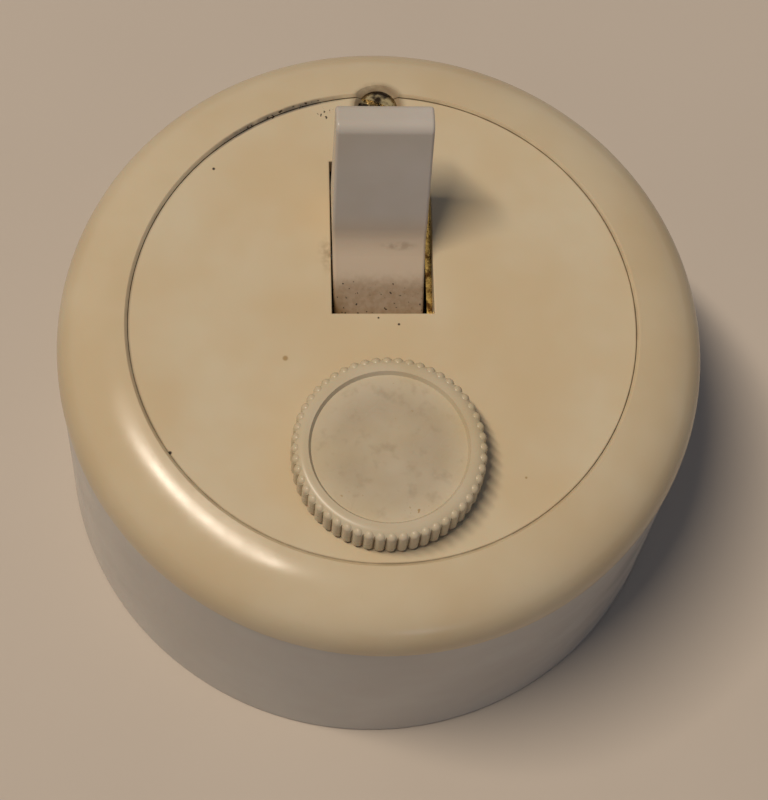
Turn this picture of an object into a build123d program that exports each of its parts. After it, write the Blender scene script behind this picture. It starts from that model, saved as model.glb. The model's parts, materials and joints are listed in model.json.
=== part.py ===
from build123d import *
import os
from math import radians, sin, sqrt, tan

# Round surface-mounted two-way light switch, in millimetres.
# Origin: centre of the back face. +Z points out of the wall, +Y towards the cover screw.

# Cover ring and base box
cover_radius = 32.35
cover_height = 6.45
ring_width = 7.25
ring_crown_slope = 9.0
ring_crown_reach = 3.8
ring_side_reach = 4.15
lip_height = 0.3
opening_bevel = 0.3
opening_bevel_drop = 0.22
ledge_thickness = 1.6
base_height = 28.3
base_back_flare = 0.25
base_rim_inset = 0.15
base_rim_chamfer = 0.35
back_edge_chamfer = 0.3
base_wall = 2.4
base_draft = 0.4
base_floor = 3.0
back_recess_depth = 0.8
back_rim_width = 3.6
spigot_height = 2.8
spigot_wall = 1.9
spigot_clearance = 0.28

# Face plate
plate_edge_gap = 0.06
plate_sink = 0.25
plate_thickness = 2.2
plate_rim_thickness = 3.0
plate_rim_width = 2.6
plate_rim_draft = 0.6
ledge_clearance = 0.3
plate_edge_chamfer = 0.07
slot_width = 10.12
slot_length = 16.8
slot_edge_round = 0.15
nut_boss_wall = 1.6
nut_boss_depth = 1.2

# Cover screw
screw_inset = 1.14
screw_radius = 1.3
screw_head_radius = 2.0
screw_crown = 0.7
screw_seat_gap = 0.04
screw_slot_width = 0.55
screw_slot_depth = 0.8
screw_slot_angle = -25
countersink_radius = 2.65
screw_length = 9.2
screw_hole_clearance = 0.2
screw_pilot_depth = 3.0
thread_clearance = 0.05
pillar_radius = 3.2
pillar_rib_width = 2.4
insert_wall = 0.8
insert_length = 5.6
insert_fit = 0.02

# Knurled cover nut and its stud
nut_inset = 0.99
nut_radius = 9.35
nut_height = 3.65
nut_seat_gap = 0.3
knurl_count = 52
knurl_radius = 0.55
knurl_depth = 0.38
knurl_margin = 0.05
nut_rim_width = 1.9
nut_recess = 0.45
nut_recess_slope = 0.25
nut_top_round = 1.3
nut_bottom_chamfer = 0.35
hub_radius = 4.2
hub_length = 3.1
hub_clearance = 0.3
stud_radius = 2.0
stud_reach = 1.5
stud_foot = 4.5
stud_post_radius = 4.6
stud_post_height = 11.0
lock_nut_width = 7.0
lock_nut_height = 2.4
nut_insert_radius = 3.2
nut_insert_length = 5.1
nut_insert_recess = 0.2

# Toggle lever, drawn upright about its pivot and leant to rest
mechanism_x = -0.38
pivot_share = 0.367412
pivot_depth = 4.8
lever_lean = 13.0
lever_top = 21.5
lever_tip_half = 1.55
lever_foot_half = 3.2
lever_foot_height = 6.6
lever_foot_round = 4.5
lever_tip_round = 1.1
shoulder_end_height = 1.3
lever_sweep_radius = 8.4
skirt_drop = 2.0
skirt_wall = 1.3
skirt_flare = 0.4
skirt_crown = 0.2
neck_root_height = 1.4
drum_width = 8.9
paddle_width = 9.35
paddle_flare = 1.5
paddle_edge_round = 0.3
neck_width = 7.2
neck_half = 3.2
pivot_pin_radius = 1.0
running_clearance = 0.05
side_clearance = 0.45

# Plunger and spring in the lever's neck
plunger_radius = 1.8
plunger_tip_radius = 1.3
plunger_stand = 2.3
plunger_showing = 3.5
plunger_body_length = 4.0
plunger_shoulder = 0.3
spring_bore_top = 2.2
spring_wire = 0.45
spring_turns = 4.5
spring_clearance = 0.15
spring_end_gap = 0.03
spring_wire_sides = 8

# Bearing plates and the pin across them
bearing_sheet = 1.2
bearing_head_inset = 0.1
bearing_waist_slope = 2.6
bearing_corner = 1.2
bearing_top_gap = 0.35
bearing_head_height = 4.4
bearing_leg_width = 2.9
bearing_leg_inner = 2.75
bearing_arch_height = 7.0
bearing_foot = 3.0
bearing_screw_radius = 0.9
bearing_screw_head = 1.35
bearing_screw_length = 5.5
bearing_screw_head_height = 0.9
bearing_screw_slot = 0.4
bearing_screw_play = 0.15
pin_head_radius = 1.7
pin_head_height = 0.75
pin_rivet_radius = 1.4
pin_rivet_height = 0.55
pin_end_gap = 0.05

# Contact block on its pad
block_length = 31.6
block_width = 22.0
block_height = 5.5
block_corner = 2.0
pad_height = 2.0
pad_margin = 0.8
block_screw_radius = 1.3
block_screw_head = 2.5
block_screw_depth = 3.0
block_screw_head_height = 1.5
block_screw_slot_width = 0.6
block_screw_slot_depth = 0.8
block_screw_inset = 3.7
block_screw_play = 0.1
blind_hole_extra = 0.4

# Rocker and contacts
rocker_clear = 3.9
rocker_tilt = 9.75
rocker_rise = 7.0
rocker_width = 5.6
rocker_sheet = 1.0
rocker_lift = 1.0
rocker_arm = 8.9
rocker_ear = 0.8
rocker_ear_radius = 1.5
rocker_pin_radius = 0.8
rocker_pin_head_radius = 1.15
rocker_pin_head_height = 0.38
rocker_pin_end_gap = 0.02
button_offset = 7.3
button_radius = 1.4
button_height = 0.8
contact_gap = 0.12
strip_sheet = 1.0
strip_width = 3.2
strip_bend = 0.55
contact_tab_half = 2.2
bracket_gap = 0.25
bracket_sheet = 0.8
bracket_ear_half = 2.0

# Terminals
terminal_inset = 3.4
terminal_size = 5.6
terminal_height = 7.0
terminal_chamfer = 0.5
wire_hole_radius = 1.5
wire_hole_height = 3.0
terminal_screw_radius = 1.3
terminal_screw_head = 2.3
terminal_screw_head_height = 1.7
terminal_screw_gap = 0.3
terminal_screw_slot_width = 0.6
terminal_screw_slot_depth = 0.9

# Wall fixing and cable entry
fixing_spacing = 45.0
fixing_slot_width = 4.4
fixing_slot_length = 8.0
cable_entry_radius = 7.0
cable_entry_margin = 0.48

# How far the parts of one moulding run into each other
bury = 0.5

# Sizes and places that follow
base_back_radius = cover_radius + base_back_flare
base_rim_radius = cover_radius - base_rim_inset
opening_radius = cover_radius - ring_width
plate_radius = opening_radius - plate_edge_gap
screw_y = plate_radius - screw_inset
nut_y = nut_radius + nut_inset - plate_radius
crest = base_height + cover_height
plate_top = crest - plate_sink
plate_under = plate_top - plate_thickness
plate_seat = plate_top - plate_rim_thickness
ledge_radius = plate_radius - plate_rim_width
ring_under = plate_seat - ledge_thickness
inner_radius = base_rim_radius - base_wall
cable_entry_reach = inner_radius - base_draft - cable_entry_radius - cable_entry_margin
cable_entry_offset = cable_entry_reach * sqrt(0.5)
screw_hole_radius = screw_radius + screw_hole_clearance
block_seat = base_floor + pad_height
block_top = block_seat + block_height
strip_top = block_top + strip_sheet
terminal_x = block_length / 2 - terminal_inset
rocker_height = block_top + rocker_clear
pivot_y = plate_radius * pivot_share
pivot_height = plate_top - pivot_depth
nut_base = plate_top + nut_seat_gap
stud_top = nut_base + stud_reach
nut_insert_bottom = nut_base - hub_length + nut_insert_recess
nut_insert_top = nut_insert_bottom + nut_insert_length
bearing_inner = drum_width / 2 + side_clearance
bearing_top = plate_under - bearing_top_gap
neck_bore_radius = plunger_radius + running_clearance
plunger_tip_drop = pivot_height - rocker_height - plunger_stand
neck_length = plunger_tip_drop - plunger_showing
plunger_tip_centre = plunger_tip_radius - plunger_tip_drop
plunger_body_bottom = plunger_tip_centre + plunger_shoulder
plunger_body_top = plunger_body_bottom + plunger_body_length


def block(x0, x1, y0, y1, z0, z1):
    centre = ((x0 + x1) / 2, (y0 + y1) / 2, (z0 + z1) / 2)
    return Pos(*centre) * Box(x1 - x0, y1 - y0, z1 - z0)


def rod(radius, z0, z1, x=0, y=0):
    return Pos(x, y, (z0 + z1) / 2) * Cylinder(radius, z1 - z0)


def cross_rod(radius, x0, x1, y, z):
    return Pos((x0 + x1) / 2, y, z) * Rot(0, 90, 0) * Cylinder(radius, x1 - x0)


def turned_body(points):
    """Revolve a closed outline of (radius, height) points about the Z axis."""
    outline = Polyline(*[(r, 0, z) for r, z in points], close=True)
    return revolve(make_face(outline), Axis.Z)


def slotted_screw(radius, length, head_radius, head_height, slot_width, slot_depth):
    """A cheese-head screw with its seat at z = 0, its shank below and a slot across its head."""
    shape = rod(radius, -length, 0) + rod(head_radius, 0, head_height)
    half = slot_width / 2
    return shape - block(-head_radius, head_radius, -half, half, head_height - slot_depth, head_height + 1)


# Housing

def make_base_box():
    back, rim = base_back_radius, base_rim_radius
    outline = [
        (0, back_recess_depth),
        (back - back_rim_width, back_recess_depth),
        (back - back_rim_width, 0),
        (back - back_edge_chamfer, 0),
        (back, back_edge_chamfer),
        (rim, base_height - base_rim_chamfer),
        (rim - base_rim_chamfer, base_height),
        (inner_radius, base_height),
        (inner_radius - base_draft, base_floor),
        (0, base_floor),
    ]
    box = turned_body(outline)
    box += rod(pillar_radius, base_floor - bury, ring_under, y=screw_y)
    rib_half = pillar_rib_width / 2
    rib_top = base_height - spigot_height - ledge_clearance
    box += block(-rib_half, rib_half, screw_y, inner_radius, base_floor - bury, rib_top)
    box += rod(stud_post_radius, base_floor - bury, base_floor + stud_post_height, y=nut_y)
    pad = RectangleRounded(block_length - 2 * pad_margin, block_width - 2 * pad_margin, block_corner)
    box += Pos(0, pivot_y, base_floor - bury) * extrude(pad, pad_height + bury)
    insert_bottom = ring_under - insert_length
    box -= rod(screw_radius + insert_wall + insert_fit, insert_bottom, ring_under + 1, y=screw_y)
    pilot_bottom = insert_bottom - screw_pilot_depth
    box -= rod(screw_hole_radius, pilot_bottom, ring_under, y=screw_y)
    box -= rod(stud_radius + insert_fit, stud_foot, stud_top, y=nut_y)
    hole_bottom = block_seat - block_screw_depth - blind_hole_extra
    for x, y in block_screw_places():
        box -= rod(block_screw_radius + insert_fit, hole_bottom, block_seat + 1, x, y)
    slot = extrude(SlotOverall(fixing_slot_length, fixing_slot_width), base_floor + 1)
    for side in (-1, 1):
        box -= Pos(side * fixing_spacing / 2, 0, 0) * slot
    return box - rod(cable_entry_radius, -1, base_floor + 1, -cable_entry_offset, -cable_entry_offset)


def screw_recess():
    """The countersink and hole of the cover screw, cut across the seam of ring and plate."""
    depth = countersink_radius - screw_hole_radius
    cone = Cone(screw_hole_radius, countersink_radius + bury, depth + bury)
    recess = Pos(0, screw_y, crest + (bury - depth) / 2) * cone
    return recess + rod(screw_hole_radius, ring_under - 1, crest, y=screw_y)


def make_cover_ring():
    """The ring's section: a rolled top that falls slowly from the plate, then steeply to its lip."""
    roll_start = opening_radius + opening_bevel
    roll_end = base_height + lip_height
    crown_drop = ring_crown_reach * tan(radians(ring_crown_slope))
    spigot_radius = inner_radius - spigot_clearance
    roll = Bezier(
        (roll_start, 0, crest),
        (roll_start + ring_crown_reach, 0, crest - crown_drop),
        (cover_radius, 0, roll_end + ring_side_reach),
        (cover_radius, 0, roll_end),
    )
    rest = Polyline(
        (roll_start, 0, crest),
        (opening_radius, 0, crest - opening_bevel_drop),
        (opening_radius, 0, plate_seat),
        (ledge_radius, 0, plate_seat),
        (ledge_radius, 0, ring_under),
        (spigot_radius - spigot_wall, 0, ring_under),
        (spigot_radius - spigot_wall, 0, base_height - spigot_height),
        (spigot_radius, 0, base_height - spigot_height),
        (spigot_radius, 0, base_height),
        (cover_radius, 0, base_height),
        (cover_radius, 0, roll_end),
    )
    return revolve(make_face([roll, rest]), Axis.Z) - screw_recess()


def make_face_plate():
    inner = ledge_radius + ledge_clearance
    outline = [
        (0, plate_top),
        (plate_radius - plate_edge_chamfer, plate_top),
        (plate_radius, plate_top - plate_edge_chamfer),
        (plate_radius, plate_seat),
        (inner, plate_seat),
        (inner - plate_rim_draft, plate_under),
        (0, plate_under),
    ]
    plate = turned_body(outline)
    hole_radius = hub_radius + hub_clearance
    plate += rod(hole_radius + nut_boss_wall, plate_under - nut_boss_depth, plate_under + bury, y=nut_y)
    plate -= rod(hole_radius, plate_seat - 2, plate_top + 1, y=nut_y)
    slot = extrude(Rectangle(slot_width, slot_length), plate_thickness + 2)
    plate -= Pos(0, pivot_y, plate_under - 1) * slot
    rim = plate.edges().filter_by_position(Axis.Z, plate_top - 0.01, plate_top + 0.01)
    rim = rim.filter_by(GeomType.LINE)
    return fillet(rim, slot_edge_round) - screw_recess()


def make_cover_screw():
    """A raised countersunk screw: its cone seats in the cover and its crown stands proud."""
    rim = crest - countersink_radius + screw_head_radius + screw_seat_gap
    cone_height = screw_head_radius - screw_radius
    ball = (screw_head_radius ** 2 + screw_crown ** 2) / (2 * screw_crown)
    crown = Pos(0, 0, screw_crown - ball) * Sphere(ball) & rod(screw_head_radius, 0, screw_crown + 1)
    cone = Pos(0, 0, -cone_height / 2) * Cone(screw_radius, screw_head_radius, cone_height)
    screw = rod(screw_radius, -screw_length, -cone_height) + cone + crown
    half = screw_slot_width / 2
    reach = screw_head_radius
    screw -= block(-reach, reach, -half, half, screw_crown - screw_slot_depth, screw_crown + 1)
    return Pos(0, screw_y, rim) * Rot(0, 0, screw_slot_angle) * screw


def make_screw_insert():
    shell = rod(screw_radius + insert_wall, ring_under - insert_length, ring_under, y=screw_y)
    return shell - rod(screw_radius + thread_clearance, 0, crest, y=screw_y)


# Knurled nut and stud

def nut_section():
    """Half section of the knurled head: chamfered foot, rounded shoulder and sunk top."""
    widest = nut_radius + knurl_margin
    shoulder = nut_height - nut_top_round
    bend = nut_top_round * sqrt(0.5)
    crest_radius = widest - nut_top_round
    recess_radius = nut_radius - nut_rim_width
    recess_floor = nut_height - nut_recess
    side = Polyline(
        (0, 0, 0),
        (nut_radius - nut_bottom_chamfer, 0, 0),
        (widest, 0, nut_bottom_chamfer),
        (widest, 0, shoulder),
    )
    crown = ThreePointArc(
        (widest, 0, shoulder), (crest_radius + bend, 0, shoulder + bend), (crest_radius, 0, nut_height)
    )
    top = Polyline(
        (crest_radius, 0, nut_height),
        (recess_radius + nut_recess_slope, 0, nut_height),
        (recess_radius, 0, recess_floor),
        (0, 0, recess_floor),
        (0, 0, 0),
    )
    return make_face([side, crown, top])


def make_knurled_nut():
    outline = Sketch() + Circle(nut_radius - knurl_depth)
    for place in PolarLocations(nut_radius - knurl_radius, knurl_count):
        outline += place * Circle(knurl_radius)
    head = extrude(outline, nut_height) & revolve(nut_section(), Axis.Z)
    nut = Pos(0, nut_y, nut_base) * head
    nut += rod(hub_radius, nut_base - hub_length, nut_base + bury, y=nut_y)
    return nut - rod(nut_insert_radius + insert_fit, nut_base - hub_length - 1, nut_insert_top, y=nut_y)


def make_nut_insert():
    shell = rod(nut_insert_radius, nut_insert_bottom, nut_insert_top, y=nut_y)
    return shell - rod(stud_radius + thread_clearance, 0, crest + nut_height, y=nut_y)


def make_cover_stud():
    return rod(stud_radius, stud_foot, stud_top, y=nut_y)


def make_stud_lock_nut():
    seat = base_floor + stud_post_height
    hexagon = RegularPolygon(lock_nut_width / 2, 6, major_radius=False)
    nut = Pos(0, nut_y, seat) * extrude(hexagon, lock_nut_height)
    return nut - rod(stud_radius + thread_clearance, 0, crest, y=nut_y)


# Toggle lever with its plunger and spring

def lever_outline():
    """Outline of the upright lever about its pivot: tip, shoulders, sweeping skirts and neck."""
    reach = lever_sweep_radius
    shoulder_end = (sqrt(reach ** 2 - shoulder_end_height ** 2), shoulder_end_height)
    skirt_end = (sqrt(reach ** 2 - skirt_drop ** 2), -skirt_drop)
    skirt_inner = skirt_end[0] - skirt_wall
    foot = (lever_foot_half, lever_foot_height)
    upper = Polyline((0, lever_top), (lever_tip_half, lever_top), foot, shoulder_end)
    skirt = ThreePointArc(shoulder_end, (reach, 0), skirt_end)
    lower = Polyline(
        skirt_end,
        (skirt_inner, -skirt_drop),
        (skirt_inner - skirt_flare, skirt_crown),
        (neck_half, neck_root_height),
        (neck_half, -neck_length),
        (0, -neck_length),
    )
    half = make_face([upper, skirt, lower, Line((0, -neck_length), (0, lever_top))])
    face = half + mirror(half, Plane.YZ)
    feet = corners_at(face, lever_foot_height)
    face = fillet(feet, lever_foot_round)
    return fillet(corners_at(face, lever_top), lever_tip_round)


def corners_at(face, height):
    return face.vertices().filter_by_position(Axis.Y, height - 0.01, height + 0.01)


def lever_place():
    return Pos(mechanism_x, pivot_y, pivot_height) * Rot(-lever_lean, 0, 0)


def make_toggle_lever():
    upright = Plane(origin=(0, 0, 0), x_dir=(0, 1, 0), z_dir=(1, 0, 0))
    body = extrude(upright * lever_outline(), paddle_width, both=True)
    drum, paddle, neck = drum_width / 2, paddle_width / 2, neck_width / 2
    front = [
        (neck, -neck_length - 1),
        (neck, -skirt_drop - 1),
        (drum, -skirt_drop - 1 + drum - neck),
        (drum, shoulder_end_height),
        (paddle, lever_foot_height + paddle_flare),
        (paddle, lever_top + 1),
    ]
    width = Polygon(*front, *[(-x, z) for x, z in reversed(front)], align=None)
    body &= extrude(Plane.XZ * width, 2 * lever_sweep_radius, both=True)
    body = fillet(body.edges().filter_by(is_paddle_edge), paddle_edge_round)
    body -= cross_rod(pivot_pin_radius + running_clearance, -paddle_width, paddle_width, 0, 0)
    body -= rod(neck_bore_radius, -neck_length - 1, -spring_bore_top)
    return lever_place() * body


def is_paddle_edge(edge):
    """True for the long edges down both sides of the paddle and round its tip."""
    middle = edge.center()
    on_side = abs(middle.X) > drum_width / 2 - 0.02
    return on_side and middle.Z > lever_foot_height + 1.5


def make_plunger():
    shape = rod(plunger_radius, plunger_body_bottom, plunger_body_top)
    shape += Pos(0, 0, plunger_tip_centre) * Sphere(plunger_tip_radius)
    return lever_place() * shape


def make_lever_spring():
    length = -spring_bore_top - plunger_body_top - spring_wire - 2 * spring_end_gap
    radius = neck_bore_radius - spring_clearance - spring_wire / 2
    path = Helix(length / spring_turns, length, radius)
    section = Plane(path @ 0, z_dir=path % 0) * RegularPolygon(spring_wire / 2, spring_wire_sides)
    coil = sweep(section, path)
    return lever_place() * Pos(0, 0, plunger_body_top + spring_wire / 2 + spring_end_gap) * coil


def make_pivot_pin():
    reach = bearing_inner + bearing_sheet + pin_end_gap
    left, right = mechanism_x - reach, mechanism_x + reach
    pin = cross_rod(pivot_pin_radius, left - pin_end_gap, right + pin_end_gap, pivot_y, pivot_height)
    pin += cross_rod(pin_head_radius, left - pin_head_height, left, pivot_y, pivot_height)
    return pin + cross_rod(pin_rivet_radius, right, right + pin_rivet_height, pivot_y, pivot_height)


# Bearing plates either side of the lever

def bearing_outline():
    head = slot_length / 2 - bearing_head_inset
    leg = bearing_leg_inner + bearing_leg_width
    waist = bearing_top - bearing_head_height
    half = [(head, bearing_top), (head, waist), (leg, waist - bearing_waist_slope), (leg, block_top)]
    sheet = Polygon(*half, *[(-y, z) for y, z in reversed(half)], align=None)
    tops = corners_at(sheet, bearing_top)
    sheet = fillet(tops, bearing_corner)
    arch_centre = block_top + bearing_arch_height - bearing_leg_inner
    sheet -= Pos(0, arch_centre) * Circle(bearing_leg_inner)
    arch_height = arch_centre - block_top
    sheet -= Pos(0, block_top + arch_height / 2) * Rectangle(2 * bearing_leg_inner, arch_height)
    return sheet - Pos(0, pivot_height) * Circle(pivot_pin_radius + insert_fit)


def make_bearing(side):
    inner = side * bearing_inner
    outer = side * (bearing_inner + bearing_sheet)
    plane = Plane(origin=(mechanism_x + min(inner, outer), pivot_y, 0), x_dir=(0, 1, 0), z_dir=(1, 0, 0))
    bearing = extrude(plane * bearing_outline(), bearing_sheet, dir=(1, 0, 0))
    foot_end = mechanism_x + outer + side * bearing_foot
    x0, x1 = sorted((mechanism_x + inner, foot_end))
    for end in (-1, 1):
        y0, y1 = sorted((end * bearing_leg_inner, end * (bearing_leg_inner + bearing_leg_width)))
        bearing += block(x0, x1, pivot_y + y0, pivot_y + y1, block_top, block_top + bearing_sheet)
    for x, y in bearing_screw_places(side):
        bearing -= rod(bearing_screw_radius + bearing_screw_play, block_top - 1, block_top + 2, x, y)
    return bearing


def bearing_screw_places(side):
    x = mechanism_x + side * (bearing_inner + bearing_sheet + bearing_foot / 2)
    offset = bearing_leg_inner + bearing_leg_width / 2
    return [(x, pivot_y - offset), (x, pivot_y + offset)]


def make_bearing_screws():
    screws = []
    for side in (-1, 1):
        for x, y in bearing_screw_places(side):
            screw = slotted_screw(
                bearing_screw_radius, bearing_screw_length, bearing_screw_head,
                bearing_screw_head_height, bearing_screw_slot, bearing_screw_slot,
            )
            screws.append(Pos(x, y, block_top + bearing_sheet) * screw)
    return Compound(screws)


# Contact block

def block_screw_places():
    offset = block_width / 2 - block_screw_inset
    return [(-terminal_x, pivot_y - offset), (-terminal_x, pivot_y + offset), (terminal_x, pivot_y)]


def make_contact_block():
    outline = RectangleRounded(block_length, block_width, block_corner)
    body = Pos(0, pivot_y, block_seat) * extrude(outline, block_height)
    for x, y in block_screw_places():
        body -= rod(block_screw_radius + block_screw_play, block_seat - 1, block_top + 1, x, y)
    for side in (-1, 1):
        for x, y in bearing_screw_places(side):
            depth = bearing_screw_length - bearing_sheet + blind_hole_extra
            body -= rod(bearing_screw_radius + insert_fit, block_top - depth, block_top + 1, x, y)
    return body


def make_block_screws():
    screws = []
    for x, y in block_screw_places():
        screw = slotted_screw(
            block_screw_radius, block_height + block_screw_depth, block_screw_head,
            block_screw_head_height, block_screw_slot_width, block_screw_slot_depth,
        )
        screws.append(Pos(x, y, block_top) * screw)
    return Compound(screws)


# Rocker and contacts

def rocker_place():
    return Pos(mechanism_x, pivot_y, rocker_height) * Rot(rocker_tilt, 0, 0)


def arm_place(side):
    """Frame at the root of one arm, with y along the arm and z = 0 on its underside."""
    return rocker_place() * Pos(0, 0, rocker_lift) * Rot(side * rocker_rise, 0, 0)


def make_contact_rocker():
    half = rocker_width / 2
    rocker = Part()
    for side in (-1, 1):
        y0, y1 = sorted((0, side * rocker_arm))
        rocker += arm_place(side) * block(-half, half, y0, y1, 0, rocker_sheet)
    for side in (-1, 1):
        x0, x1 = sorted((side * half, side * (half - rocker_ear)))
        ear = cross_rod(rocker_ear_radius, x0, x1, 0, 0)
        ear += block(x0, x1, -rocker_ear_radius, rocker_ear_radius, 0, rocker_lift + rocker_sheet / 2)
        rocker += rocker_place() * ear
    hole = cross_rod(rocker_pin_radius + running_clearance, -rocker_width, rocker_width, 0, 0)
    return rocker - rocker_place() * hole


def make_rocker_buttons():
    buttons = []
    for side in (-1, 1):
        button = Pos(0, side * button_offset, -button_height / 2) * Cylinder(button_radius, button_height)
        buttons.append(arm_place(side) * button)
    return Compound(buttons)


def make_rocker_pin():
    reach = rocker_width / 2 + bracket_gap + bracket_sheet + rocker_pin_end_gap
    end = reach + rocker_pin_head_height
    pin = cross_rod(rocker_pin_radius, mechanism_x - reach, mechanism_x + reach, pivot_y, rocker_height)
    for side in (-1, 1):
        x0, x1 = sorted((mechanism_x + side * reach, mechanism_x + side * end))
        pin += cross_rod(rocker_pin_head_radius, x0, x1, pivot_y, rocker_height)
    return pin


def make_common_bracket():
    end = rocker_width / 2 + bracket_gap + bracket_sheet
    half = strip_width / 2
    left = -terminal_x - terminal_size / 2
    bracket = block(left, mechanism_x + end, pivot_y - half, pivot_y + half, block_top, strip_top)
    for side in (-1, 1):
        x0, x1 = sorted((mechanism_x + side * end, mechanism_x + side * (end - bracket_sheet)))
        y0, y1 = pivot_y - bracket_ear_half, pivot_y + bracket_ear_half
        bracket += block(x0, x1, y0, y1, block_top, rocker_height)
        bracket += cross_rod(bracket_ear_half, x0, x1, pivot_y, rocker_height)
    hole_radius = rocker_pin_radius + insert_fit
    return bracket - cross_rod(hole_radius, -rocker_width, rocker_width, pivot_y, rocker_height)


def closed_button():
    """Where the lowered moving button ends at rest: its (y offset from the pivot, height)."""
    point = (arm_place(-1) * Pos(0, -button_offset, -button_height)).position
    droop = button_radius * sin(radians(rocker_tilt - rocker_rise))
    return pivot_y - point.Y, point.Z - droop - contact_gap


def make_fixed_contact(side):
    offset, top = closed_button()
    tab = top - button_height - strip_sheet / 2
    strip = block_top + strip_sheet / 2
    riser = mechanism_x + contact_tab_half + strip_sheet / 2
    end = terminal_x + terminal_size / 2
    path = FilletPolyline(
        (end, 0, strip),
        (riser, 0, strip),
        (riser, 0, tab),
        (mechanism_x - contact_tab_half, 0, tab),
        radius=strip_bend,
    )
    section = Pos(end, 0, strip) * Rot(0, 90, 0) * Rectangle(strip_sheet, strip_width)
    contact = sweep(section, path)
    return Pos(0, pivot_y + side * offset, 0) * contact


def make_fixed_button(side):
    offset, top = closed_button()
    return rod(button_radius, top - button_height, top, mechanism_x, pivot_y + side * offset)


# Terminals

def terminal_places():
    offset, _ = closed_button()
    return {
        "common": (-terminal_x, pivot_y),
        "near": (terminal_x, pivot_y - offset),
        "far": (terminal_x, pivot_y + offset),
    }


def make_terminal(x, y):
    body = Pos(0, 0, terminal_height / 2) * Box(terminal_size, terminal_size, terminal_height)
    body = chamfer(body.edges().filter_by(Axis.Z), terminal_chamfer)
    body -= cross_rod(wire_hole_radius, -terminal_size, terminal_size, 0, wire_hole_height)
    body -= rod(terminal_screw_radius + thread_clearance, wire_hole_height, terminal_height + 1)
    return Pos(x, y, strip_top) * body


def make_terminal_screw(x, y):
    length = terminal_height - wire_hole_height + terminal_screw_gap
    screw = slotted_screw(
        terminal_screw_radius, length, terminal_screw_head, terminal_screw_head_height,
        terminal_screw_slot_width, terminal_screw_slot_depth,
    )
    return Pos(x, y, strip_top + terminal_height + terminal_screw_gap) * screw


def make_nodes():
    nodes = {
        "base_box": make_base_box(),
        "cover_ring": make_cover_ring(),
        "face_plate": make_face_plate(),
        "cover_screw": make_cover_screw(),
        "screw_insert": make_screw_insert(),
        "knurled_nut": make_knurled_nut(),
        "nut_insert": make_nut_insert(),
        "cover_stud": make_cover_stud(),
        "stud_lock_nut": make_stud_lock_nut(),
        "toggle_lever": make_toggle_lever(),
        "plunger": make_plunger(),
        "lever_spring": make_lever_spring(),
        "pivot_pin": make_pivot_pin(),
        "left_bearing": make_bearing(-1),
        "right_bearing": make_bearing(1),
        "bearing_screws": make_bearing_screws(),
        "contact_block": make_contact_block(),
        "block_screws": make_block_screws(),
        "contact_rocker": make_contact_rocker(),
        "rocker_buttons": make_rocker_buttons(),
        "rocker_pin": make_rocker_pin(),
        "common_bracket": make_common_bracket(),
        "near_contact": make_fixed_contact(-1),
        "far_contact": make_fixed_contact(1),
        "near_button": make_fixed_button(-1),
        "far_button": make_fixed_button(1),
    }
    for name, (x, y) in terminal_places().items():
        nodes[name + "_terminal"] = make_terminal(x, y)
        nodes[name + "_terminal_screw"] = make_terminal_screw(x, y)
    return nodes


os.makedirs("parts", exist_ok=True)
for node_name, shape in make_nodes().items():
    export_step(shape, "parts/" + node_name + ".step")
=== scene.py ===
import json
from math import cos, radians, sin, tau

import bmesh
import bpy
from mathutils import Matrix, Vector


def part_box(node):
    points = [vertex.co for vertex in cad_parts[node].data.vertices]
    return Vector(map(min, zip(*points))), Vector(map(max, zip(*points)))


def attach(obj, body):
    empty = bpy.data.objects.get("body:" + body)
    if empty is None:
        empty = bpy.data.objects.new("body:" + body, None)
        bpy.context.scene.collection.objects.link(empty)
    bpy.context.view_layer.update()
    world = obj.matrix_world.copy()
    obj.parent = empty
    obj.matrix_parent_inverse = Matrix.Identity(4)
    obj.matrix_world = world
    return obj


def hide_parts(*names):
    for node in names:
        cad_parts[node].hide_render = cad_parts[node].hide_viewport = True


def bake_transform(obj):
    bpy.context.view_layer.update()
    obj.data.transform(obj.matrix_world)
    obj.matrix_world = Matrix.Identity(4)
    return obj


# Round surface-mounted two-way light switch: its finishes, dirt, floor, lamps and camera.
# +Z points out of the wall, +Y towards the cover screw, and the origin is the back's centre.
# Sizes are in millimetres, apart from FLOOR_SIZE and those of the lamps, which are in metres.

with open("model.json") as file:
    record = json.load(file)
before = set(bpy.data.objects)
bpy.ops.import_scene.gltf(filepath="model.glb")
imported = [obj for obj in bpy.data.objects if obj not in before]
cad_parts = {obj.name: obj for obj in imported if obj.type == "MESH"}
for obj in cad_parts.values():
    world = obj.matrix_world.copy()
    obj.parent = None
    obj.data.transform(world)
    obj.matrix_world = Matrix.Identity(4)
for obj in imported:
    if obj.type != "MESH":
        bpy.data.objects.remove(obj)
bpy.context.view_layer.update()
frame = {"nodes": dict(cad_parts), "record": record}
MM = 0.001

# Camera, above the near side of the switch. Its roll is in degrees.
CAMERA_PLACE = (-14.0, -91.5, 241.0)
CAMERA_AIM = (-0.18, -8.42, 34.5)
CAMERA_ROLL = 8.6
LENS = 107.8
SENSOR_WIDTH = 36.0

# Places read from the frame
plate_low, plate_high = (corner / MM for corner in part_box("face_plate"))
nut_low, nut_high = (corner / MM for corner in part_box("knurled_nut"))
seam_radius = (plate_high.x - plate_low.x) / 2
plate_top = plate_high.z
nut_centre = ((nut_low.x + nut_high.x) / 2, (nut_low.y + nut_high.y) / 2, 0)
nut_radius = (nut_high.x - nut_low.x) / 2
nut_top = nut_high.z
screw_y = sum(corner.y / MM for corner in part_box("cover_screw")) / 2
lever_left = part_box("toggle_lever")[0].x / MM

# Width of the rim round the nut's sunk disc
NUT_RIM = 1.9
disc_radius = nut_radius - NUT_RIM

# Where the lever's front edge goes down into its slot
LEVER_FRONT_Y = 1.5

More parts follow.
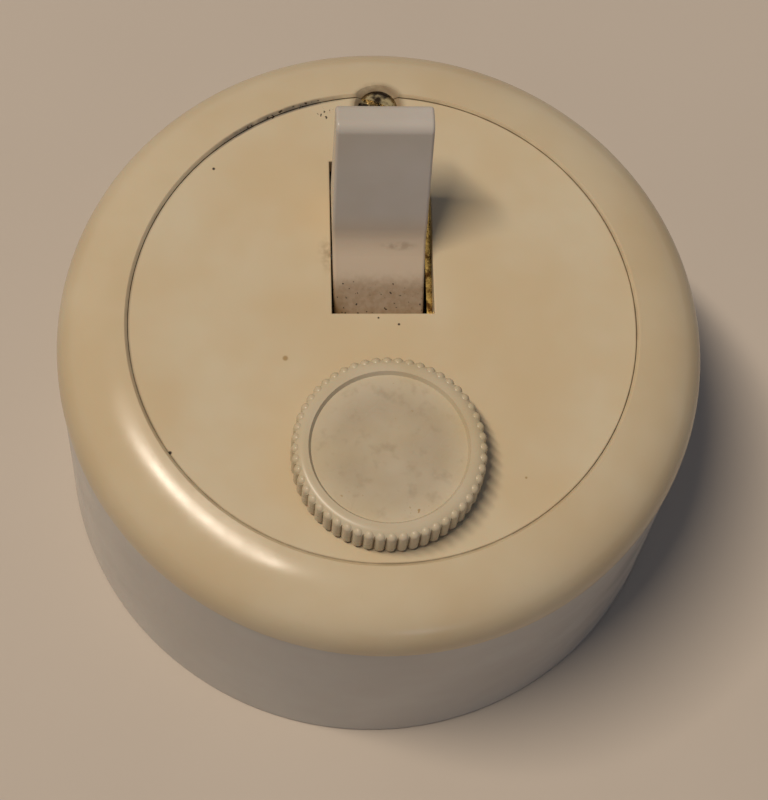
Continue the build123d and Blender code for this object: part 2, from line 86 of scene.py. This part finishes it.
# Numbers of a Mix node's inputs and output for colours, since their names repeat
FACTOR, COLOUR_A, COLOUR_B, MIXED = 0, 6, 7, 2


def linear(code):
    """An sRGB hex colour as linear RGBA."""
    channels = [int(code[i:i + 2], 16) / 255 for i in (1, 3, 5)]
    return [c / 12.92 if c <= 0.04045 else ((c + 0.055) / 1.055) ** 2.4 for c in channels] + [1.0]


def add(tree, kind, settings=None, output=0):
    """Add a node and give back one output. A setting is a property, a value or another output."""
    node = tree.nodes.new(kind)
    for name, value in (settings or {}).items():
        if isinstance(value, bpy.types.NodeSocket):
            tree.links.new(value, node.inputs[name])
        elif isinstance(name, str) and hasattr(node, name):
            setattr(node, name, value)
        else:
            node.inputs[name].default_value = value
    return node.outputs[output] if node.outputs else node


def new_finish(name):
    """An empty material, its node tree, and where a point lies on the switch in millimetres."""
    material = bpy.data.materials.new(name)
    material.use_nodes = True
    tree = material.node_tree
    tree.nodes.clear()
    metres = add(tree, "ShaderNodeTexCoord", output="Object")
    scaled = {"operation": "SCALE", "Vector": metres, "Scale": 1 / MM}
    return material, tree, add(tree, "ShaderNodeVectorMath", scaled)


# Patterns. Each is a mask from 0 to 1 unless told otherwise, and its most may be another mask.

SOFT = {"interpolation_type": "SMOOTHSTEP"}

# Share of the seam's band that is at full strength
SEAM_CORE = 0.3

# How much a zone thickens its specks, and how soft the specks' edges are
ZONE_LIFT = 0.22
SPECK_EDGE = 0.05


def clouds(tree, place, size, low, high, least=0.0, most=1.0):
    """Soft clouds about one size across: least below the low level of the noise, most above the high."""
    noise = add(tree, "ShaderNodeTexNoise", {"Vector": place, "Scale": 1 / size, "Detail": 3.0})
    span = {"From Min": low, "From Max": high, "To Min": least, "To Max": most}
    return add(tree, "ShaderNodeMapRange", {**SOFT, **span, "Value": noise})


def near(tree, place, centre, full, gone, most=1.0, axes=(1, 1, 0)):
    """A patch: most within the full distance of its centre, nothing beyond the gone one.

    Distances are counted at the share that axes gives for each axis.
    """
    offset = add(tree, "ShaderNodeVectorMath", {"operation": "SUBTRACT", 0: place, 1: centre})
    counted = add(tree, "ShaderNodeVectorMath", {"operation": "MULTIPLY", 0: offset, 1: axes})
    away = add(tree, "ShaderNodeVectorMath", {"operation": "LENGTH", 0: counted}, "Value")
    span = {"From Min": gone, "From Max": full, "To Max": most}
    return add(tree, "ShaderNodeMapRange", {**SOFT, **span, "Value": away})


def below(tree, place, full, gone, most=1.0):
    """Most below the full height, and nothing above the gone one."""
    height = add(tree, "ShaderNodeSeparateXYZ", {0: place}, "Z")
    span = {"From Min": gone, "From Max": full, "To Max": most}
    return add(tree, "ShaderNodeMapRange", {**SOFT, **span, "Value": height})


def seam(tree, place, width, most=1.0):
    """A band along the joint of plate and ring, fading out at its width."""
    flat = add(tree, "ShaderNodeVectorMath", {"operation": "MULTIPLY", 0: place, 1: (1, 1, 0)})
    radius = add(tree, "ShaderNodeVectorMath", {"operation": "LENGTH", 0: flat}, "Value")
    offset = add(tree, "ShaderNodeMath", {"operation": "SUBTRACT", 0: radius, 1: seam_radius})
    away = add(tree, "ShaderNodeMath", {"operation": "ABSOLUTE", 0: offset})
    span = {"From Min": width, "From Max": width * SEAM_CORE, "To Max": most}
    return add(tree, "ShaderNodeMapRange", {**SOFT, **span, "Value": away})


def pepper(tree, place, grain, zone, rarity):
    """Ragged specks about one grain across: thickest where the zone is 1, none where it is 0."""
    noise = add(tree, "ShaderNodeTexNoise", {"Vector": place, "Scale": 1 / grain, "Detail": 1.0})
    lifted = {"operation": "MULTIPLY_ADD", 0: zone, 1: ZONE_LIFT, 2: noise}
    level = add(tree, "ShaderNodeMath", lifted)
    span = {"From Min": rarity - SPECK_EDGE, "From Max": rarity, "To Max": zone}
    return add(tree, "ShaderNodeMapRange", {**SOFT, **span, "Value": level})


# Dirt and painted light, as layers of a mask and a colour. A brown film lies in the joints and where
# fingers rub, and black-brown specks lie loose in it. Some layers paint shade (the seam's left half,
# part of the screw's recess) and warm light (the lever's foot).

# Brown dirt film, also used as painted shade in the screw's recess
BROWN_FILM_AND_SHADE = "#735c40"
# Grey dirt for the seam, also used as painted shade on the seam's left half
GREY_FILM_AND_SHADE = "#786f62"
# Painted warm light for the lever's foot
PAINTED_WARM_LIGHT = "#bea480"
DUST = "#6e5128"
SPECKS = "#281d12"
FAINT_SPECKS = "#a1875e"

# Single specks on the plate: x, y, radius and colour
PLATE_MARKS = [
    (-16.7, 16.7, 0.2, SPECKS), (-20.8, -13.8, 0.24, SPECKS), (-9.7, -4.0, 0.36, FAINT_SPECKS),
    (8.1, -23.9, 0.2, SPECKS), (20.9, -14.2, 0.16, SPECKS), (13.3, -16.5, 0.16, FAINT_SPECKS),
    (15.0, -21.0, 0.15, SPECKS), (1.5, -0.4, 0.17, SPECKS), (-0.5, 0.3, 0.14, SPECKS),
]

# Share of a single speck's radius that is at full strength
MARK_CORE = 0.4

# The stretch of the seam where most dirt has gathered: its middle and half length
DIRTY_SEAM = (-10.8, 22.2, 0)
DIRTY_LENGTH = 9.0

# Middles of the other dirty places; the seam's left is painted shade, and the screw's recess holds dirt
# and painted shade
SEAM_LEFT = (-26, 9, 0)
SCREW_RECESS = (0, screw_y, 0)
SCREW_SPECKS = (-5.4, 22.9, 0)
SLOT_SMUDGE = (-5.4, 7.2, 0)
LEVER_SMUDGE = (1.6, 0, plate_top + 2.2)
LEVER_CORNER = (lever_left, LEVER_FRONT_Y, 0)


def seam_dirt_and_shade(tree, place, width):
    """A film along the seam, painted shade on its left half, most dirt in one stretch, and dirt with
    painted shade in the screw's recess.
    """
    stretch = near(tree, place, DIRTY_SEAM, DIRTY_LENGTH * 0.4, DIRTY_LENGTH)
    gathered = seam(tree, place, width * 1.5, stretch)
    shaded_left_half = near(tree, place, SEAM_LEFT, 12, 26, 0.35)
    recess = near(tree, place, SCREW_RECESS, 2.2, 3.1, 0.7)
    return [
        (clouds(tree, place, 3.0, 0.3, 0.7, most=seam(tree, place, width, 0.3)), BROWN_FILM_AND_SHADE),
        # Painted shade: a grey band on the seam's left half, where the bevel faces away from the key
        # lamp.
        (seam(tree, place, width * 1.2, shaded_left_half), GREY_FILM_AND_SHADE),
        (clouds(tree, place, 1.2, 0.1, 0.6, most=gathered), GREY_FILM_AND_SHADE),
        # Partly dirt, partly painted shade: a brown film darkening the screw's recess.
        (clouds(tree, place, 1.0, 0.1, 0.6, most=recess), BROWN_FILM_AND_SHADE),
        (pepper(tree, place, 0.32, gathered, 0.88), SPECKS),
    ]


def plate_dirt_and_shade(tree, place):
    """The seam's dirt and painted shade, smudges left of the slot, loose specks by the screw, and single
    specks.
    """
    smudge = near(tree, place, SLOT_SMUDGE, 0.1, 1.3, 0.5, axes=(1, 0.5, 0))
    by_screw = near(tree, place, SCREW_SPECKS, 0.3, 1.8)
    layers = seam_dirt_and_shade(tree, place, 0.2)
    layers.append((clouds(tree, place, 0.8, 0.3, 0.7, most=smudge), BROWN_FILM_AND_SHADE))
    layers.append((pepper(tree, place, 0.3, by_screw, 0.87), SPECKS))
    for x, y, radius, colour in PLATE_MARKS:
        layers.append((near(tree, place, (x, y, 0), radius * MARK_CORE, radius), colour))
    return layers


def ring_dirt_and_shade(tree, place):
    return seam_dirt_and_shade(tree, place, 0.36)


def nut_dirt(tree, place):
    """Blotches and faint specks worn into the sunk disc, and the ribs' grooves darker towards the
    bottom.
    """
    disc_edge = disc_radius - 0.6
    disc = near(tree, place, nut_centre, disc_edge, disc_radius)
    blotched = near(tree, place, nut_centre, disc_edge, disc_radius, 0.22)
    rubbed = near(tree, place, nut_centre, disc_radius - 3.0, disc_radius, 0.28)
    inside_grooves = near(tree, place, nut_centre, nut_radius - 0.42, nut_radius - 0.2, 0.75)
    return [
        (clouds(tree, place, 6.0, 0.1, 0.7, most=rubbed), BROWN_FILM_AND_SHADE),
        (clouds(tree, place, 1.1, 0.5, 0.8, most=blotched), BROWN_FILM_AND_SHADE),
        (pepper(tree, place, 0.4, clouds(tree, place, 4.0, 0.45, 0.8, most=disc), 0.86), FAINT_SPECKS),
        # The ribs' grooves, darker towards the bottom of the nut.
        (below(tree, place, nut_top - 1.7, nut_top - 0.9, inside_grooves), BROWN_FILM_AND_SHADE),
    ]


def lever_dirt_and_light(tree, place):
    """Painted warm light on the up-facing foot, brown dust where it enters the slot, most in its left
    corner, and a smudge.
    """
    grainy = below(tree, place, plate_top - 0.5, plate_top + 1.0, 0.3)
    corner = near(tree, place, LEVER_CORNER, 0.3, 2.2, 0.7)
    smudge = near(tree, place, LEVER_SMUDGE, 0.1, 0.45, 0.4, axes=(0.2, 0, 1))
    dusty = below(tree, place, plate_top - 0.3, plate_top + 1.0)
    return [
        # Painted warm light: the foot's upward-facing slope tinted tan.
        (below(tree, place, plate_top + 2.0, plate_top + 6.5, 0.55), PAINTED_WARM_LIGHT),
        (below(tree, place, plate_top - 0.5, plate_top + 0.7, 0.5), DUST),
        (clouds(tree, place, 0.6, 0.3, 0.7, most=grainy), DUST),
        (below(tree, place, plate_top, plate_top + 2.2, corner), DUST),
        (clouds(tree, place, 0.9, 0.35, 0.65, most=smudge), BROWN_FILM_AND_SHADE),
        (pepper(tree, place, 0.34, dusty, 0.95), SPECKS),
    ]


def no_dirt(tree, place):
    return []


# Moulded urea: pressed hot in a polished mould, so it is smooth, glossy and a little translucent,
# with a faint waviness. It yellows in slow clouds with age, and handling dulls its gloss in patches,
# so its specular level is under the 0.5 that its IOR alone would give.

YELLOWED_PATCH = 15.0
YELLOWED_FLECK = 2.5
DULLED_PATCH = 6.0
SKIN_WAVE = 2.4
SKIN_WAVE_HEIGHT = 0.004


def moulded_urea(name, fresh, aged, roughness, dirt_and_painted_light):
    material, tree, place = new_finish(name)
    layers = [
        (clouds(tree, place, YELLOWED_PATCH, 0.32, 0.68), aged),
        (clouds(tree, place, YELLOWED_FLECK, 0.3, 0.8, most=0.25), aged),
        *dirt_and_painted_light(tree, place),
    ]
    tone = linear(fresh)
    for mask, colour in layers:
        mixed = {"data_type": "RGBA", FACTOR: mask, COLOUR_A: tone, COLOUR_B: linear(colour)}
        tone = add(tree, "ShaderNodeMix", mixed, MIXED)
    waves = {"Vector": place, "Scale": 1 / SKIN_WAVE, "Detail": 1.0}
    skin = add(tree, "ShaderNodeTexNoise", waves)
    wavy = {"Strength": 1.0, "Distance": SKIN_WAVE_HEIGHT * MM, "Height": skin}
    surface = {
        "Base Color": tone,
        "Roughness": clouds(tree, place, DULLED_PATCH, 0.25, 0.75, roughness - 0.04, roughness + 0.06),
        "IOR": 1.55,
        "Specular IOR Level": 0.2,
        "Subsurface Weight": 0.1,
        "Subsurface Scale": 0.5 * MM,
        "Normal": add(tree, "ShaderNodeBump", wavy),
    }
    shader = add(tree, "ShaderNodeBsdfPrincipled", surface)
    add(tree, "ShaderNodeOutputMaterial", {"Surface": shader})
    return material


# Metals: rolled or drawn, so their fine lines run one way, with brown tarnish in patches.
# The lines are drawn 0.25 mm apart, coarser than real ones, so that they show.

LINE_SPACING = 0.25
LINE_STRETCH = 0.15
LINE_HEIGHT = 0.006
TARNISH_PATCH = 1.1


def worn_metal(name, bright, tarnish, roughness, covered):
    """Covered is the share of the surface, roughly, that the tarnish takes."""
    material, tree, place = new_finish(name)
    along_lines = {"operation": "MULTIPLY", 0: place, 1: (1, 1, LINE_STRETCH)}
    drawn = add(tree, "ShaderNodeVectorMath", along_lines)
    lines = clouds(tree, drawn, LINE_SPACING, 0.3, 0.7)
    patches = clouds(tree, place, TARNISH_PATCH, 0.88 - covered, 1.1 - covered)
    mixed = {
        "data_type": "RGBA", FACTOR: patches, COLOUR_A: linear(bright), COLOUR_B: linear(tarnish),
    }
    lined = {"Strength": 1.0, "Distance": LINE_HEIGHT * MM, "Height": lines}
    surface = {
        "Base Color": add(tree, "ShaderNodeMix", mixed, MIXED),
        "Metallic": 1.0,
        "Roughness": clouds(tree, drawn, LINE_SPACING, 0.3, 0.7, roughness - 0.08, roughness + 0.12),
        "Normal": add(tree, "ShaderNodeBump", lined),
    }
    shader = add(tree, "ShaderNodeBsdfPrincipled", surface)
    add(tree, "ShaderNodeOutputMaterial", {"Surface": shader})
    return material


# Moulded phenolic: dark, with paler wood-flour flakes that break its gloss.
# The flakes are drawn 0.8 mm across, coarser than real ones, so that they show.

FLAKE = 0.8


def moulded_phenolic(name):
    material, tree, place = new_finish(name)
    flakes = clouds(tree, place, FLAKE, 0.45, 0.75)
    mixed = {
        "data_type": "RGBA", FACTOR: flakes, COLOUR_A: linear("#191311"), COLOUR_B: linear("#2e251c"),
    }
    surface = {
        "Base Color": add(tree, "ShaderNodeMix", mixed, MIXED),
        "Roughness": clouds(tree, place, FLAKE, 0.45, 0.75, 0.32, 0.5),
        "IOR": 1.6,
    }
    shader = add(tree, "ShaderNodeBsdfPrincipled", surface)
    add(tree, "ShaderNodeOutputMaterial", {"Surface": shader})
    return material


# Rounded upper ends of the nut's ribs, which stand a little proud of its shoulder.
# RIB_INSET is how far their centres lie inside the nut's radius, RIB_END_DROP how far below its
# top, and RIB_END_LENGTH how far their lower halves are drawn down.

RIB_COUNT = 52
RIB_RADIUS = 0.54
RIB_INSET = 0.55
RIB_END_DROP = 0.62
RIB_END_LENGTH = 1.2

def make_rib_ends(finish):
    ends = bmesh.new()
    height = nut_top - RIB_END_DROP
    waist = height - RIB_RADIUS / 10
    for i in range(RIB_COUNT):
        turn = Matrix.Rotation(tau * i / RIB_COUNT, 4, "Z")
        out = Matrix.Translation((nut_radius - RIB_INSET, 0, 0))
        place = Matrix.Translation((*nut_centre[:2], height)) @ turn @ out
        end = bmesh.ops.create_uvsphere(
            ends, u_segments=16, v_segments=12, radius=RIB_RADIUS, matrix=place)
        for vert in end["verts"]:
            if vert.co.z < waist:
                vert.co.z -= RIB_END_LENGTH
    for face in ends.faces:
        face.smooth = True
    ends.transform(Matrix.Scale(MM, 4))
    mesh = bpy.data.meshes.new("rib_ends")
    ends.to_mesh(mesh)
    ends.free()
    mesh.materials.append(finish)
    piece = bpy.data.objects.new("rib_ends", mesh)
    bpy.context.scene.collection.objects.link(piece)
    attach(piece, "cover_nut")


def make_coil_spring(finish):
    """The lever's spring once more, a copy of the frame's spring mesh in the given finish, which hides
    the frame's spring.
    """
    mesh = frame["nodes"]["lever_spring"].data.copy()
    mesh.materials.clear()
    mesh.materials.append(finish)
    piece = bpy.data.objects.new("coil_spring", mesh)
    bpy.context.scene.collection.objects.link(piece)
    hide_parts("lever_spring")
    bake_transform(piece)


def dress_nodes():
    """Give each node its own finish, or else that of its material slot, and add the two pieces."""
    by_node = {
        "face_plate": moulded_urea("aged cream urea, dulled", "#c9bb9e", "#c4b08d", 0.34, plate_dirt_and_shade),
        "cover_ring": moulded_urea("aged cream urea, glossy", "#c7b798", "#c1ad8a", 0.2, ring_dirt_and_shade),
        "knurled_nut": moulded_urea("aged cream urea, handled", "#c3b69d", "#baa884", 0.24, nut_dirt),
        # The base's tone is greyer and darker than a pale cream: partly its own colour, partly painted
        # shade.
        "base_box": moulded_urea("pale cream urea", "#b8b4ac", "#b2aca3", 0.2, no_dirt),
        "toggle_lever": moulded_urea("white urea", "#bfb9b2", "#b6aea2", 0.22, lever_dirt_and_light),
        "plunger": moulded_urea("clean white urea", "#cbc6bc", "#c3bcad", 0.25, no_dirt),
    }
    by_slot = {
        "moulded_black": moulded_phenolic("dark phenolic"),
        "brass": worn_metal("rolled brass", "#c7a35b", "#64441e", 0.26, 0.42),
        "bronze_steel": worn_metal("bronzed steel", "#9c8a66", "#2a2017", 0.22, 0.5),
        "spring_steel": worn_metal("drawn spring steel", "#a6a5a2", "#66615a", 0.28, 0.3),
        "contact_silver": worn_metal("silver contact facing", "#c8c5bd", "#827867", 0.22, 0.3),
    }
    for entry in frame["record"]["subparts"]:
        name = entry["node"]
        materials = frame["nodes"][name].data.materials
        materials.clear()
        materials.append(by_node.get(name) or by_slot[entry["material_slot"]])
    make_rib_ends(by_node["knurled_nut"])
    make_coil_spring(by_slot["spring_steel"])


# Floor, lamps, backdrop and camera

FLOOR_SIZE = 4.0
FLOOR_CLOUD = 40.0


def make_floor():
    """A plain floor in matt paint, whose tone drifts a little every few centimetres."""
    bpy.ops.mesh.primitive_plane_add(size=FLOOR_SIZE)
    floor = bpy.context.object
    floor.name = "floor"
    material, tree, place = new_finish("pale floor paint")
    drift = clouds(tree, place, FLOOR_CLOUD, 0.3, 0.7)
    mixed = {
        "data_type": "RGBA", FACTOR: drift, COLOUR_A: linear("#bfb4a6"), COLOUR_B: linear("#bdb2a4"),
    }
    surface = {"Base Color": add(tree, "ShaderNodeMix", mixed, MIXED), "Roughness": 0.9}
    shader = add(tree, "ShaderNodeBsdfPrincipled", surface)
    add(tree, "ShaderNodeOutputMaterial", {"Surface": shader})
    floor.data.materials.append(material)


def make_softbox(name, place, along, size, power, colour):
    """A rectangular lamp that faces the origin, its long side along a direction."""
    lamp = bpy.data.lights.new(name, "AREA")
    lamp.shape = "RECTANGLE"
    lamp.size, lamp.size_y = size
    lamp.energy = power
    lamp.color = linear(colour)[:3]
    facing = Vector(place).normalized()
    across = facing.cross(Vector(along)).normalized()
    turn = Matrix((across.cross(facing), across, facing)).transposed().to_4x4()
    holder = bpy.data.objects.new(name, lamp)
    holder.matrix_world = Matrix.Translation(place) @ turn
    bpy.context.scene.collection.objects.link(holder)


def make_world():
    """Soft light all round, and a pale backdrop that the camera sees and gloss reflects."""
    world = bpy.data.worlds.new("studio")
    world.use_nodes = True
    tree = world.node_tree
    tree.nodes.clear()
    light = add(tree, "ShaderNodeBackground", {"Color": linear("#d3e0ff"), "Strength": 0.135})
    backdrop = add(tree, "ShaderNodeBackground", {"Color": linear("#f1eeea"), "Strength": 1.0})
    camera, glossy, through = (
        add(tree, "ShaderNodeLightPath", output=ray)
        for ray in ("Is Camera Ray", "Is Glossy Ray", "Is Transmission Ray")
    )
    seen = add(tree, "ShaderNodeMath", {"operation": "MAXIMUM", 0: camera, 1: glossy})
    seen = add(tree, "ShaderNodeMath", {"operation": "MAXIMUM", 0: seen, 1: through})
    both = add(tree, "ShaderNodeMixShader", {0: seen, 1: light, 2: backdrop})
    add(tree, "ShaderNodeOutputWorld", {"Surface": both})
    bpy.context.scene.world = world


def make_light():
    """A long, warm key lamp high on the left, a weak, cool fill low in front, and the world."""
    make_softbox(
        "key softbox", place=(-0.64, -0.02, 1.79), along=(-0.70, 0.71, 0),
        size=(0.86, 0.13), power=28.2, colour="#fff0de")
    make_softbox(
        "low front fill", place=(0.17, -0.78, 0.10), along=(1, 0, 0),
        size=(0.16, 0.1), power=0.19, colour="#d6e2ff")
    make_world()


def make_camera():
    data = bpy.data.cameras.new("camera")
    data.sensor_fit = "HORIZONTAL"
    data.sensor_width = SENSOR_WIDTH
    data.lens = LENS
    data.clip_start = 0.01
    camera = bpy.data.objects.new("camera", data)
    place = Vector(CAMERA_PLACE) * MM
    aim = Vector(CAMERA_AIM) * MM
    turn = (aim - place).to_track_quat("-Z", "Y").to_matrix().to_4x4()
    roll = Matrix.Rotation(radians(CAMERA_ROLL), 4, "Z")
    camera.matrix_world = Matrix.Translation(place) @ turn @ roll
    bpy.context.scene.collection.objects.link(camera)
    bpy.context.scene.camera = camera


dress_nodes()
make_floor()
make_light()
make_camera()
bpy.context.scene.view_settings.view_transform = "Standard"
